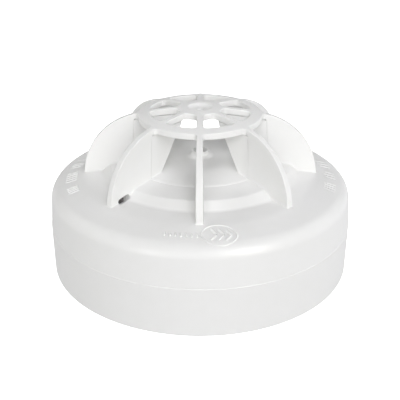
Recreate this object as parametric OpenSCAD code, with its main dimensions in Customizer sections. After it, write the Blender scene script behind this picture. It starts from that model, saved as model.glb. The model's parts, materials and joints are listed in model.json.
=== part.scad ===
// Point heat detector on its twist-on base, standing on the face that goes against the ceiling.
// Origin: centre of that face. +Z points away from the ceiling, -Y is the front.

/* [Base] */
// Outer radius of the base skirt
base_r = 50.1; // [49:0.1:52]
// Height of the base skirt, up to the seam
base_h = 16.1; // [15.8:0.1:16.1]
// Thickness of the base floor
floor_t = 2.4; // [2:0.1:2.8]
// Wall thickness of the base skirt
skirt_t = 2.2; // [1.8:0.1:2.5]
// Diameter of the cable entry in the floor
cable_entry_d = 24; // [16:1:28]
// Distance between the two mounting slots, middle to middle
mount_spacing = 60; // [58:1:62]
// Width of a mounting slot
slot_w = 4.5; // [4:0.1:5]
// Overall length of a mounting slot
slot_len = 10; // [8:0.5:11]

/* [Cover] */
// Thickness of the cover shell
shell_t = 2; // [1.8:0.1:2.1]
// Radius of the rounded shoulder
shoulder_r = 4.7; // [4.2:0.1:5.2]
// Number of fins, spokes and webs
fin_count = 8; // [6:1:8]
// Thickness of a fin
fin_t = 2.1; // [1.8:0.1:2.4]
// Radius of the convex outer edge of a fin
fin_edge_r = 23.56; // [23.4:0.02:23.7]

/* [Crown] */
// Outer radius of the crown ring
crown_r = 19.92; // [19.6:0.02:20.2]
// Inner radius of the crown ring, where the openings end
opening_r = 16.3; // [15.5:0.1:17]
// Radius of the solid hub
hub_r = 7.3; // [6.5:0.1:8]
// Height of the crown's middle above the ceiling face
crown_z = 53.4; // [53.2:0.05:53.6]
// Radius of the sphere that the crown's top follows
crown_dome_r = 95; // [90:1:100]
// Thickness of the crown plate
crown_t = 2.1; // [1.9:0.1:2.3]
// Width of a spoke
spoke_w = 2; // [1.6:0.1:2.4]

/* [Twist lock] */
// Radius of the feet of the bayonet hooks
hook_r = 39.8; // [39:0.1:40]
// Half of the angle that one hook spans
hook_half_angle = 6; // [5:0.5:7]
// Half of the angle that one ledge of the base spans
ledge_half_angle = 10; // [9:0.5:11]
// Turn from locked to free
twist_angle = 18; // [17:0.5:19]

/* [Hidden] */
$fn = 96;
moulded = "whitesmoke";
eps = 0.01;

// Levels of the head above the ceiling face
seam_z = base_h + 0.2;
plate_z = 14;
plate_t = 2;
plate_top = plate_z + plate_t;
plate_r = base_r - 2.9;
board_z = 19;
board_t = 1.6;
board_top = board_z + board_t;
board_r = 43;

// Places round the axis, in degrees from +X
hook_angles = [30, 150, 270];
post_angles = [90, 210, 330];
board_post_angles = [0, 120, 240];
contact_angles = [45, 135, 225, 315];
led_angle = 225;
post_ring_r = 38.5;
board_post_ring_r = 30;
contact_ring_r = 24;

// Outline of the cover's top, from the bore for the shroud to the shoulder
bore_r = 22.35;
bore_top_z = 35.2;
step_top = [29.4, 33.9];
step_foot = [32.4, 31.45];
fin_foot = [38.9, 30.72];
shoulder_c = [44.72, 24.6];
shoulder_top_angle = 78;
fin_edge_c = [15.11, 28.59];
crown_edge_z = crown_z - crown_t - 2.1;
fin_top_z = crown_z - 1.97;
dish_r = 3.9;
dish_depth = 1.15;
dish_hole_r = 1;
cover_post_r = 3.2;
cover_pilot_r = 1.5;
cover_pilot_h = 11;

// Sensor shroud
shroud_r = 22.2;
shroud_top_z = 36.6;
shroud_drop = 1.35;
shroud_t = 1.8;
rim_r = 3.05;
rim_z = 38.6;
web_t = 1.7;

function polar(c, r, a) = [c[0] + r * cos(a), c[1] + r * sin(a)];
function arc(c, r, a0, a1, n) = [for (i = [0:n]) polar(c, r, a0 + (a1 - a0) * i / n)];
function dome_z(r) = shroud_top_z - shroud_drop * pow(r / shroud_r, 4);

// One fastener: a round head and a round shank that runs down from it
module fastener(head_r, head_h, shank_r, shank_len) {
    cylinder(r = head_r, h = head_h);
    translate([0, 0, -shank_len])
        cylinder(r = shank_r, h = shank_len + eps);
}

// A screwdriver slot across the top of a fastener's head
module driver_slot(head_r, head_h, w) {
    translate([-head_r, -w / 2, head_h - 0.8])
        cube([2 * head_r, w, 1]);
}

// A block bounded by two radii, two angles and two heights
module ring_block(r0, r1, a0, a1, z0, z1) {
    rotate([0, 0, a0])
        translate([0, 0, z0])
            rotate_extrude(angle = a1 - a0)
                translate([r0, 0])
                    square([r1 - r0, z1 - z0]);
}

// A flat plate in the vertical plane through the axis, from an outline of radius and height
module radial_plate(t) {
    rotate([90, 0, 0])
        translate([0, 0, -t / 2])
            linear_extrude(t)
                children();
}

module at_contact(i) {
    rotate([0, 0, contact_angles[i]])
        translate([contact_ring_r, 0, 0])
            children();
}

// Base, the part that stays on the ceiling

terminal_y = -7;
terminal_boss_h = 2.6;
contact_t = 0.8;
contact_w = 7;
contact_z = floor_t + terminal_boss_h;
clamp_t = 1.1;
terminal_head_z = contact_z + contact_t + clamp_t;
edge_chamfer = 0.5;
screw_hole_z = 0.6;
terminal_hole_r = 1.6;
boss_margin = 1;
boss_len = 14;
root = 0.5; // how far a rib or boss reaches into the wall it stands on
track_wall_t = 1.8;
track_gap = 0.6;
ledge_r0 = 36.9;
ledge_z = 8;
ledge_t = 1.5;
stop_top_z = 8.5;
stop_gap = 1; // degrees between a hook and its stop
stop_angle = 2;

module base_skirt() {
    rotate_extrude()
        polygon([
            [cable_entry_d / 2, 0], [base_r - edge_chamfer, 0], [base_r, edge_chamfer],
            [base_r, base_h], [base_r - skirt_t, base_h], [base_r - skirt_t, floor_t],
            [cable_entry_d / 2, floor_t]
        ]);
}

module mounting_slots() {
    for (side = [-1, 1])
        for (end = [-1, 1])
            translate([side * mount_spacing / 2 + end * (slot_len - slot_w) / 2, 0, -1])
                cylinder(d = slot_w, h = floor_t + 2);
    for (side = [-1, 1])
        translate([side * mount_spacing / 2 - (slot_len - slot_w) / 2, -slot_w / 2, -1])
            cube([slot_len - slot_w, slot_w, floor_t + 2]);
}

// Ring wall with three ledges that the hooks turn under, and the stops at both ends of the turn
module bayonet_track() {
    wall_r0 = hook_r + track_gap;
    first_stop = hook_half_angle + stop_gap;
    last_stop = twist_angle + first_stop;
    for (a = hook_angles) {
        ring_block(
            wall_r0, wall_r0 + track_wall_t, a - ledge_half_angle - stop_angle,
            a + last_stop + stop_angle + 1, floor_t - root, ledge_z + ledge_t
        );
        ring_block(
            ledge_r0, wall_r0 + root, a - ledge_half_angle, a + ledge_half_angle, ledge_z, ledge_z + ledge_t
        );
        ring_block(
            ledge_r0, wall_r0 + root, a - first_stop - stop_angle, a - first_stop, floor_t - root, stop_top_z
        );
        ring_block(
            ledge_r0, wall_r0 + root, a + last_stop, a + last_stop + stop_angle, floor_t - root, stop_top_z
        );
    }
}

module base_housing() {
    color(moulded)
        difference() {
            union() {
                base_skirt();
                bayonet_track();
                for (i = [0:3])
                    at_contact(i)
                        translate([-contact_w / 2 - boss_margin, terminal_y - 5, floor_t - root])
                            cube([contact_w + 2 * boss_margin, boss_len, terminal_boss_h + root]);
            }
            mounting_slots();
            for (i = [0:3])
                at_contact(i)
                    translate([0, terminal_y, screw_hole_z])
                        cylinder(r = terminal_hole_r, h = contact_z);
        }
}

// Spring strip: flat under the terminal screw, then it folds up to a raised pad
strip_end = terminal_y - 4;
strip_hole_r = 1.65;
strip_pad_z = 9.6;
bend_y = 9.2;

module base_contact(i) {
    color("goldenrod")
        at_contact(i)
            difference() {
                translate([-contact_w / 2, 0, 0])
                    rotate([90, 0, 90])
                        linear_extrude(contact_w)
                            polygon([
                                [strip_end, contact_z], [bend_y - 3.7, contact_z],
                                [bend_y, strip_pad_z - 2.2], [bend_y, strip_pad_z - 1.2],
                                [bend_y - 4, strip_pad_z], [0, strip_pad_z],
                                [0, strip_pad_z - contact_t], [bend_y - 4.2, strip_pad_z - contact_t],
                                [bend_y - 0.9, strip_pad_z - 1.7],
                                [bend_y - 4.2, contact_z + contact_t], [strip_end, contact_z + contact_t]
                            ]);
                translate([0, terminal_y, 0])
                    cylinder(r = strip_hole_r, h = contact_z + contact_t + 1);
            }
}

clamp_w = 6.4;

module clamp_plates() {
    color("silver")
        for (i = [0:3])
            at_contact(i)
                translate([0, terminal_y, contact_z + contact_t])
                    difference() {
                        translate([-clamp_w / 2, -clamp_w / 2, 0])
                            cube([clamp_w, clamp_w, clamp_t]);
                        translate([0, 0, -1])
                            cylinder(r = strip_hole_r, h = clamp_t + 2);
                    }
}

terminal_head = [2.9, 1.9]; // radius and height
terminal_shank_r = 1.55;

module terminal_screws() {
    color("silver")
        for (i = [0:3])
            at_contact(i)
                translate([0, terminal_y, terminal_head_z])
                    difference() {
                        fastener(
                            terminal_head[0], terminal_head[1], terminal_shank_r,
                            terminal_head_z - screw_hole_z - 0.3
                        );
                        driver_slot(terminal_head[0], terminal_head[1], 0.9);
                    }
}

// Head, the part that twists off

plate_rim_t = 1.6;
plate_rim_h = 3;
board_post_r = 2.8;
board_pilot_r = 1.25;
cover_screw_hole_r = 1.6;
rivet_hole_r = 1.35;
contact_pin_y = 3; // where a blade's rivet and pin stand, along the blade
hook_leg = [34.4, 36.4]; // inner and outer radius
hook_z = 5;
hook_foot_t = 2.6;

module back_plate() {
    color(moulded)
        difference() {
            union() {
                translate([0, 0, plate_z])
                    cylinder(r = plate_r, h = plate_t);
                ring_block(plate_r - plate_rim_t, plate_r, 0, 360, plate_top - root, plate_top + plate_rim_h);
                for (a = board_post_angles)
                    rotate([0, 0, a])
                        translate([board_post_ring_r, 0, plate_top - root])
                            cylinder(r = board_post_r, h = board_z - plate_top + root);
                for (a = hook_angles) {
                    ring_block(
                        hook_leg[0], hook_leg[1], a - hook_half_angle, a + hook_half_angle, hook_z, plate_z + root
                    );
                    ring_block(
                        hook_leg[1] - 0.4, hook_r, a - hook_half_angle, a + hook_half_angle,
                        hook_z, hook_z + hook_foot_t
                    );
                }
            }
            for (a = post_angles)
                rotate([0, 0, a])
                    translate([post_ring_r, 0, plate_z - 1])
                        cylinder(r = cover_screw_hole_r, h = plate_t + 2);
            for (a = board_post_angles)
                rotate([0, 0, a])
                    translate([board_post_ring_r, 0, plate_top])
                        cylinder(r = board_pilot_r, h = board_z);
            for (i = [0:3])
                at_contact(i)
                    translate([0, contact_pin_y, plate_z - 1])
                        cylinder(r = rivet_hole_r, h = plate_t + 2);
        }
}

// Rigid strip that slides over the spring strip: a flange under the plate, a leg and a pad
blade_t = 0.8;
blade_w = contact_w - 1;
blade_leg_y = 6.7;
blade_pad_z = 9.9;

module contact_blade(i) {
    color("goldenrod")
        at_contact(i)
            difference() {
                translate([-blade_w / 2, 0, 0])
                    rotate([90, 0, 90])
                        linear_extrude(blade_w)
                            polygon([
                                [0, plate_z], [0, plate_z - blade_t], [blade_leg_y - blade_t, plate_z - blade_t],
                                [blade_leg_y - blade_t, blade_pad_z + blade_t], [0, blade_pad_z + blade_t],
                                [-1, blade_pad_z + 1.6], [-1.6, blade_pad_z + 1],
                                [-0.4, blade_pad_z], [blade_leg_y, blade_pad_z], [blade_leg_y, plate_z]
                            ]);
                translate([0, contact_pin_y, plate_z - 2])
                    cylinder(r = rivet_hole_r, h = 4);
            }
}

rivet_head_r = 2.2;
rivet_head_h = 0.7;
rivet_shank_r = 1.3;

module contact_rivets() {
    rivet_z = plate_z - blade_t - rivet_head_h;
    color("silver")
        for (i = [0:3])
            at_contact(i)
                translate([0, contact_pin_y, 0]) {
                    translate([0, 0, rivet_z])
                        cylinder(r = rivet_head_r, h = rivet_head_h);
                    translate([0, 0, rivet_z])
                        cylinder(r = rivet_shank_r, h = plate_top - rivet_z + 0.1);
                    translate([0, 0, plate_top])
                        cylinder(r = rivet_head_r, h = rivet_head_h);
                }
}

// Pins that carry the lines from the rivets up through the board
link_pin_r = 0.6;
link_pin_above = 0.9;

module link_pins() {
    pin_z = plate_top + rivet_head_h;
    color("silver")
        for (i = [0:3])
            at_contact(i)
                translate([0, contact_pin_y, pin_z])
                    cylinder(r = link_pin_r, h = board_top + link_pin_above - pin_z);
}

// A hole through the board
module board_hole(r) {
    translate([0, 0, board_z - 1])
        cylinder(r = r, h = board_t + 2);
}

lead_pitch = 1.2;
lead_r = 0.22;
post_notch_r = 4.3;
board_screw_r = 1.2;
board_screw_head = [2.3, 1.5]; // radius and height

module circuit_board() {
    color("darkgreen")
        difference() {
            translate([0, 0, board_z])
                cylinder(r = board_r, h = board_t);
            for (a = post_angles)
                rotate([0, 0, a])
                    translate([post_ring_r + 0.7, 0, 0])
                        board_hole(post_notch_r);
            for (a = board_post_angles)
                rotate([0, 0, a])
                    translate([board_post_ring_r, 0, 0])
                        board_hole(board_screw_r + 0.2);
            for (i = [0:3])
                at_contact(i)
                    translate([0, contact_pin_y, 0])
                        board_hole(link_pin_r + 0.05);
            for (side = [-1, 1])
                translate([side * lead_pitch / 2, 0, 0])
                    board_hole(lead_r + 0.08);
        }
}

module board_screws() {
    color("silver")
        for (a = board_post_angles)
            rotate([0, 0, a])
                translate([board_post_ring_r, 0, board_top])
                    difference() {
                        fastener(board_screw_head[0], board_screw_head[1], board_screw_r, board_t + 2.6);
                        driver_slot(board_screw_head[0], board_screw_head[1], 0.7);
                    }
}

// Chip package with its rows of leads
module chip(w, d, h, leads) {
    translate([-w / 2, -d / 2, 0.2])
        cube([w, d, h]);
    for (i = [0:leads - 1])
        for (side = [-1, 1])
            translate([-w / 2 + (i + 0.5) * w / leads - 0.2, side * (d / 2 + 0.5) - 0.6, 0])
                cube([0.4, 1.2, 0.6]);
}

module microcontroller() {
    color("dimgray")
        translate([9, -13, board_top])
            chip(10, 5.4, 2, 8);
}

can_r = 4;
can_h = 9;
can_groove = 0.3;
can_groove_z = 1.4;

module line_capacitor() {
    color("darkslateblue")
        translate([-13, 15, board_top])
            rotate_extrude()
                difference() {
                    square([can_r, can_h]);
                    translate([can_r - can_groove, can_groove_z])
                        square([1, 0.5]);
                    translate([-1, can_h - 0.2])
                        square([can_r, 1]);
                }
}

module bridge_rectifier() {
    color("dimgray")
        translate([14, 12, board_top])
            chip(6.4, 5, 2.3, 2);
}

module voltage_regulator() {
    color("dimgray")
        translate([-15, -6, board_top])
            chip(4.6, 3.4, 1.6, 3);
}

module chip_resistors() {
    color("gray")
        for (i = [0:5])
            translate([-6 + 2.6 * i, 22, board_top])
                cube([1.3, 3.2, 0.6]);
}

led_ring_r = 34.7;
led_flange = [1.9, 0.9]; // radius and height
led_r = 1.5;
led_h = 3.2; // up to where the round top starts

module indicator_led() {
    color("firebrick")
        rotate([0, 0, led_angle])
            translate([led_ring_r, 0, board_top])
                rotate_extrude()
                    intersection() {
                        union() {
                            square(led_flange);
                            square([led_r, led_h]);
                            translate([0, led_h])
                                circle(r = led_r);
                        }
                        square([led_flange[0], led_h + led_r]);
                    }
}

// Clear bar that carries the light up into the window at the foot of one fin
window_slope = -17;
window_len = 4.5;
window_h = 1.2;
window_c = [33.95, 32.15];
pipe_w = 1.4;
pipe_len = 2.6;
pipe_r = window_c[0] + 0.75; // the bar fills the outer end of the window
pipe_flange = [6, 3, 1.2]; // length, width and height
pipe_flange_z = 26.2;

module window_outline(grow) {
    translate(window_c)
        rotate(window_slope)
            square([window_len + grow, window_h + grow], center = true);
}

module light_pipe() {
    color("darkred")
        rotate([0, 0, led_angle]) {
            radial_plate(pipe_w)
                intersection() {
                    translate([pipe_r - pipe_len / 2, pipe_flange_z + 0.8])
                        square([pipe_len, 8]);
                    translate(window_c)
                        rotate(window_slope)
                            translate([-window_len, -8])
                                square([2 * window_len, 8 + window_h / 2 - 0.2]);
                }
            radial_plate(pipe_flange[1])
                translate([pipe_r - pipe_flange[0] / 2, pipe_flange_z])
                    square([pipe_flange[0], pipe_flange[2]]);
        }
}

// Bead on two leads, held upright in the middle of the shroud
bead_r = 0.95;
bead_z = 37.2;
bead_h = 3.6;
lead_below = 0.8;
lead_in_bead = 0.6;

module thermistor() {
    color("black")
        translate([0, 0, bead_z])
            rotate_extrude()
                intersection() {
                    union() {
                        translate([0, bead_r])
                            circle(r = bead_r);
                        translate([0, bead_r])
                            square([bead_r, bead_h - 2 * bead_r]);
                        translate([0, bead_h - bead_r])
                            circle(r = bead_r);
                    }
                    square([2, bead_h]);
                }
}

module thermistor_leads() {
    color("silver")
        for (side = [-1, 1])
            difference() {
                translate([side * lead_pitch / 2, 0, board_z - lead_below])
                    cylinder(r = lead_r, h = bead_z + lead_in_bead - board_z + lead_below);
                thermistor();
            }
}

// Domed floor under the crown, with a hollow rim for the bead and one web inside each fin
boss_foot_r = 4.4;
tube_bore_r = 1.4;
tube_r = 2.8;
tube_z = 25;
flange_r = 26;
flange_t = 1;
flange_z = 31;
web_gap = 0.1;
web_inner_r = 9.4;

// Underside of the crown at a radius, less a gap
function web_top(r) = crown_z - crown_dome_r + sqrt(pow(crown_dome_r - crown_t, 2) - r * r) - web_gap;

module sensor_shroud() {
    dome = [for (i = [0:8]) let (r = shroud_r - i * (shroud_r - boss_foot_r) / 8) [r, dome_z(r)]];
    under_z = shroud_top_z - shroud_t;
    color(moulded) {
        rotate_extrude()
            polygon(concat(
                dome,
                [[rim_r + 0.45, rim_z - 1.5], [rim_r, rim_z - 0.8], [rim_r, rim_z], [rim_r - 0.7, rim_z]],
                [[tube_bore_r + 0.5, rim_z - 1.2], [tube_bore_r, rim_z - 1.6], [tube_bore_r, tube_z]],
                [[tube_r, tube_z], [tube_r, under_z], [shroud_r - 4.2, under_z - 0.6]],
                [[shroud_r - shroud_t, flange_z + 0.9], [shroud_r - shroud_t, flange_z], [flange_r, flange_z]],
                [[flange_r, flange_z + flange_t], [shroud_r, flange_z + flange_t]]
            ));
        for (i = [0:fin_count - 1])
            rotate([0, 0, -90 + i * 360 / fin_count])
                radial_plate(web_t)
                    polygon([
                        [shroud_r - 0.1, 34.4], [18.5, 35.1], [18.5, 36.2], [17.3, 37.5], [15.1, 41.5],
                        [12.1, 45.5], [web_inner_r, web_top(web_inner_r)], [15, web_top(15)],
                        [crown_r, web_top(crown_r)], [21.15, web_top(21.15)]
                    ]);
    }
}

// Section of the cover's shell, from the bore for the shroud out to the seam
module cover_section() {
    skirt_foot = [base_r, seam_z];
    shoulder = arc(shoulder_c, shoulder_r, shoulder_top_angle, 4, 16);
    inner_shoulder = arc(shoulder_c, shoulder_r - shell_t, 4, shoulder_top_angle, 16);
    polygon(concat(
        [[bore_r, bore_top_z], step_top, step_foot, fin_foot],
        shoulder,
        [skirt_foot, [base_r - shell_t, seam_z]],
        inner_shoulder,
        [[fin_foot[0] - 0.3, fin_foot[1] - shell_t], [step_foot[0] - 0.7, step_foot[1] - shell_t]],
        [[step_top[0] - 0.7, step_top[1] - shell_t], [bore_r, bore_top_z - shell_t]]
    ));
}

module crown() {
    intersection() {
        rotate_extrude()
            intersection() {
                difference() {
                    translate([0, crown_z - crown_dome_r])
                        circle(r = crown_dome_r, $fn = 180);
                    translate([0, crown_z - crown_dome_r])
                        circle(r = crown_dome_r - crown_t, $fn = 180);
                }
                translate([0, 40])
                    square([crown_r, 20]);
            }
        translate([0, 0, 40])
            linear_extrude(20) {
                difference() {
                    circle(r = crown_r + 1);
                    circle(r = opening_r);
                }
                circle(r = hub_r);
                for (i = [0:fin_count - 1])
                    rotate(-90 + i * 360 / fin_count)
                        translate([0, -spoke_w / 2])
                            square([crown_r - 1, spoke_w]);
            }
    }
}

module fin() {
    radial_plate(fin_t)
        intersection() {
            translate(fin_edge_c)
                circle(r = fin_edge_r, $fn = 180);
            polygon([
                [crown_r - 0.6, 60], [crown_r - 0.6, crown_edge_z + 0.2], [21.3, crown_edge_z + 0.2],
                [bore_r + 0.05, bore_top_z - 0.9], [step_top[0], step_top[1] - 1],
                [step_foot[0], step_foot[1] - 1], [60, fin_foot[1] - 1.4], [60, 60]
            ]);
            square([60, fin_top_z]);
        }
}

module cover_posts() {
    for (a = post_angles)
        rotate([0, 0, a])
            translate([post_ring_r, 0, plate_top + 0.1])
                cylinder(r = cover_post_r, h = fin_foot[1] - 1 - plate_top);
}

module outer_cover() {
    color(moulded)
        difference() {
            union() {
                rotate_extrude()
                    cover_section();
                crown();
                for (i = [0:fin_count - 1])
                    rotate([0, 0, -90 + i * 360 / fin_count])
                        fin();
                cover_posts();
            }
            for (a = post_angles)
                rotate([0, 0, a])
                    translate([post_ring_r, 0, plate_top - 1])
                        cylinder(r = cover_pilot_r, h = cover_pilot_h);
            translate([0, 0, crown_z - dish_depth])
                cylinder(r1 = dish_hole_r, r2 = dish_r, h = dish_depth + 0.05);
            translate([0, 0, crown_z - 5])
                cylinder(r = dish_hole_r, h = 6);
            rotate([0, 0, led_angle]) {
                radial_plate(fin_t + 1)
                    window_outline(0);
                radial_plate(pipe_w + 0.3)
                    translate([pipe_r - pipe_len / 2 - 0.15, pipe_flange_z + 1.8])
                        square([pipe_len + 0.3, 3.9]);
            }
        }
}

cover_screw_head = [2.8, 1.8]; // radius and height
cover_screw_r = 1.4;
cover_screw_len = 10;

module cover_screws() {
    color("silver")
        for (a = post_angles)
            rotate([0, 0, a])
                translate([post_ring_r, 0, plate_z])
                    mirror([0, 0, 1])
                        difference() {
                            fastener(cover_screw_head[0], cover_screw_head[1], cover_screw_r, cover_screw_len);
                            driver_slot(cover_screw_head[0], cover_screw_head[1], 0.8);
                        }
}

base_housing();
base_contact(0);  // base_contact_1
base_contact(1);  // base_contact_2
base_contact(2);  // base_contact_3
base_contact(3);  // base_contact_4
clamp_plates();
terminal_screws();
back_plate();
contact_blade(0);  // contact_blade_1
contact_blade(1);  // contact_blade_2
contact_blade(2);  // contact_blade_3
contact_blade(3);  // contact_blade_4
contact_rivets();
link_pins();
circuit_board();
board_screws();
microcontroller();
line_capacitor();
bridge_rectifier();
voltage_regulator();
chip_resistors();
indicator_led();
light_pipe();
thermistor();
thermistor_leads();
sensor_shroud();
outer_cover();
cover_screws();
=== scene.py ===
"""Looks of a ceiling heat detector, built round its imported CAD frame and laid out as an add-on."""

import json
import math

import bmesh
import bpy
import numpy as np
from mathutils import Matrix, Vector


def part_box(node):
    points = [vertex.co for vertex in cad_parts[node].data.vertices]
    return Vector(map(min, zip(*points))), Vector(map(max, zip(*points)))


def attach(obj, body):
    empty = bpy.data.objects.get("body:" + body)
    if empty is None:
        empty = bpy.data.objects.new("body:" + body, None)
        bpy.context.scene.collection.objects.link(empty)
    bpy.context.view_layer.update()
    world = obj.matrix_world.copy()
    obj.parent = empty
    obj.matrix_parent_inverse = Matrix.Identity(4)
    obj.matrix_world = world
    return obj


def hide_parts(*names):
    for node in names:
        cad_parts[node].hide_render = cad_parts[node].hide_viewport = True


bl_info = {
    "name": "Heat Detector",
    "version": (1, 0, 0),
    "blender": (4, 5, 0),
    "location": "View3D > Sidebar > Detector",
    "description": "Builds the moulded shells, sensor and finishes of a finned heat detector",
    "category": "Add Mesh",
}

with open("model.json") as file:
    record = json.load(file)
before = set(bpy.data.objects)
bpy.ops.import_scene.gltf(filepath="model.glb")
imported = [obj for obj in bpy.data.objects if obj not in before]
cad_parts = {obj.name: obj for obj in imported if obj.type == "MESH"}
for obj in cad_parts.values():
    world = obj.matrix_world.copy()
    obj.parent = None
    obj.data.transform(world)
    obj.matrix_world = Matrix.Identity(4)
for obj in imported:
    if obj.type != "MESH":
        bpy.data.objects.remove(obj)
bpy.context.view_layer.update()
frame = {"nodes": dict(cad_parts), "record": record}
MM = 0.001
HEAD = "detector"
BASE = "base"


def node_mm(node):
    """Lowest and highest corners of a CAD node, in millimetres."""
    low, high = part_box(node)
    return np.array(low) / MM, np.array(high) / MM


COVER_LOW, COVER_HIGH = node_mm("outer_cover")
BEAD_LOW, BEAD_HIGH = node_mm("thermistor")
BODY_R = float(COVER_HIGH[0])
SEAM_Z = float(COVER_LOW[2])
BASE_H = float(node_mm("base_housing")[1][2])
PIPE_FOOT = float(node_mm("light_pipe")[0][2])
FINS = 8
MOUNTS = {m["name"]: m for m in frame["record"]["mounts"]}
SLOT_DIMS = MOUNTS["mounting_slots"]["dims"]
CABLE_R = MOUNTS["cable_entry"]["dims"]["r_mm"]
FLOOR_T = MOUNTS["cable_entry"]["dims"]["length_mm"]


# Settings that a user would change


def number(name, description, default, low, high, **more):
    """A plain number with its limits."""
    return bpy.props.FloatProperty(
        name=name, description=description, default=default, min=low, max=high, **more
    )


def length(name, description, default, low, high):
    """A length in millimetres, kept as a plain number because the scene's unit is the metre."""
    return number(name, description + ", in millimetres", default, low, high, precision=2)


def angle(name, description, degrees, low, high):
    """An angle that is given and shown in degrees, and kept in radians like its limits."""
    return number(name, description, math.radians(degrees), low, high, subtype="ANGLE")


def colour(name, description, default):
    """A colour with linear red, green and blue."""
    return bpy.props.FloatVectorProperty(
        name=name, description=description, subtype="COLOR", size=3, min=0, max=1, default=default
    )


def factor(name, description, default):
    """A share from 0 to 1."""
    return number(name, description, default, 0, 1, subtype="FACTOR")


class CoverSizes(bpy.types.PropertyGroup):
    shell: length("Shell", "Wall of the moulded cap", 2.0, 1.5, 2.5)
    shoulder: length("Shoulder", "Radius of the rounded shoulder", 4.7, 3.0, 6.0)
    fin_foot_t: length("Fin foot", "Thickness of a fin at its foot", 2.3, 1.5, 2.6)
    fin_top_t: length("Fin top", "Thickness of a fin at the crown", 1.85, 1.2, 2.4)
    fin_edge: length("Fin edge", "Rounding of the free edges of a fin", 0.3, 0.1, 0.8)
    fin_root: length("Fin root", "Fillet where a fin meets the cap", 0.18, 0.1, 1.5)


class CrownSizes(bpy.types.PropertyGroup):
    plate: length("Plate", "Thickness of the crown plate", 2.1, 1.5, 2.5)
    spoke: length("Spoke", "Width of a spoke", 2.0, 1.4, 2.6)
    opening_r: length("Opening", "Radius at which the openings end", 16.3, 15.0, 17.5)
    hub_r: length("Hub", "Radius of the hub", 7.3, 6.0, 8.0)
    corner: length("Corner", "Rounding of the corners of the openings", 1.1, 0.3, 2.0)
    dish_r: length("Dish", "Radius of the dish in the hub", 3.9, 3.0, 5.0)
    blend: length("Fin blend", "Fillet between the crown's rim and the sides of a fin", 1.0, 0.2, 1.5)
    edge: length("Edge", "Rounding of the plate's edges", 0.35, 0.1, 0.6)


class Finishes(bpy.types.PropertyGroup):
    plastic: colour("Plastic", "White moulded plastic", (0.80, 0.80, 0.792))
    gloss: factor("Roughness", "Roughness of the moulded plastic", 0.36)
    brass: colour("Brass", "Spring brass of the contacts", (0.78, 0.58, 0.27))
    steel: colour("Steel", "Zinc plating of the screws", (0.74, 0.75, 0.77))
    mask: colour("Solder mask", "Green solder mask of the board", (0.012, 0.13, 0.055))
    lens: colour("Lens", "Smoked tint of the indicator window", (0.05, 0.045, 0.045))


class StageSettings(bpy.types.PropertyGroup):
    camera_distance: length("Distance", "Camera to the object's axis at mid height", 247.5, 150.0, 600.0)
    camera_height: length("Aim", "Height that the camera looks at", 20.39, 0.0, 60.0)
    camera_tilt: angle("Tilt", "Angle that the camera looks down", 25.58, 0, 1.5)
    camera_turn: angle("Turn", "Angle of the camera round the axis from the front fin", 0.4, -3.2, 3.2)
    focal: number("Lens", "Focal length for a 36 mm sensor, in millimetres", 65.4, 20, 200)
    key: number("Key", "Power of all the lamps", 1.0, 0, 20)
    mirrored: colour("Mirrored", "The floor as the parts reflect it", (0.855, 0.85, 0.87))


# Surfaces: every shape is worked out in millimetres as whole arrays

WELD = 2e-6  # metres within which points are merged
DEGENERATE = 1e-7  # metres under which an edge has no length
SHARP = 40


def grid_faces(rows, cols, close_rows=False, close_cols=False):
    """Quads between neighbours of a grid of points counted row by row, wrapping round where it is closed."""
    r = np.arange(rows if close_rows else rows - 1)[:, None]
    c = np.arange(cols if close_cols else cols - 1)[None, :]
    r1, c1 = (r + 1) % rows, (c + 1) % cols
    quads = np.stack([r * cols + c, r * cols + c1, r1 * cols + c1, r1 * cols + c], axis=-1)
    return quads.reshape(-1, 4)


def joined(parts):
    """One point list and one face list from several (points, faces) parts."""
    starts = np.cumsum([0] + [len(p) for p, _ in parts[:-1]])
    points = np.concatenate([p for p, _ in parts])
    faces = np.concatenate([f + s for (_, f), s in zip(parts, starts)])
    return points, faces


def rounded(points, radii, steps):
    """A closed outline whose corners are arcs. Each arc is tangent to the two sides of its corner, and its
    points lie at equal angles round a centre on the bisector, at radius / sin(half the corner's angle)."""
    points = np.asarray(points, float)
    out = []
    for before, here, after, radius in zip(np.roll(points, 1, 0), points, np.roll(points, -1, 0), radii):
        if radius == 0:
            out.append(here[None])
            continue
        a = (before - here) / np.linalg.norm(before - here)
        b = (after - here) / np.linalg.norm(after - here)
        half = math.acos(np.clip(a @ b, -1, 1)) / 2
        bisector = (a + b) / np.linalg.norm(a + b)
        centre = here + bisector * radius / math.sin(half)
        u = here + a * radius / math.tan(half) - centre
        v = here + b * radius / math.tan(half) - centre
        sweep = math.pi - 2 * half
        t = np.linspace(0, 1, steps)[:, None]
        out.append(centre + (np.sin((1 - t) * sweep) * u + np.sin(t * sweep) * v) / math.sin(sweep))
    return np.concatenate(out)


def revolve(profile, count, closed=True):
    """The profile of (radius, height) carried round the axis: x = r sin a, y = -r cos a. A profile that isn't
    closed starts and ends on the axis."""
    a = np.linspace(0, 2 * np.pi, count, endpoint=False)
    r, z = profile[:, 0], profile[:, 1]
    x = np.sin(a)[:, None] * r
    y = -np.cos(a)[:, None] * r
    points = np.stack([x, y, np.broadcast_to(z, x.shape)], axis=-1).reshape(-1, 3)
    return points, grid_faces(count, len(profile), close_rows=True, close_cols=closed)


def turned(part, degrees):
    """A part turned about the vertical axis, anticlockwise from above."""
    points, faces = part
    a = math.radians(degrees)
    turn = np.array([[math.cos(a), -math.sin(a), 0], [math.sin(a), math.cos(a), 0], [0, 0, 1]])
    return points @ turn.T, faces


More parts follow.
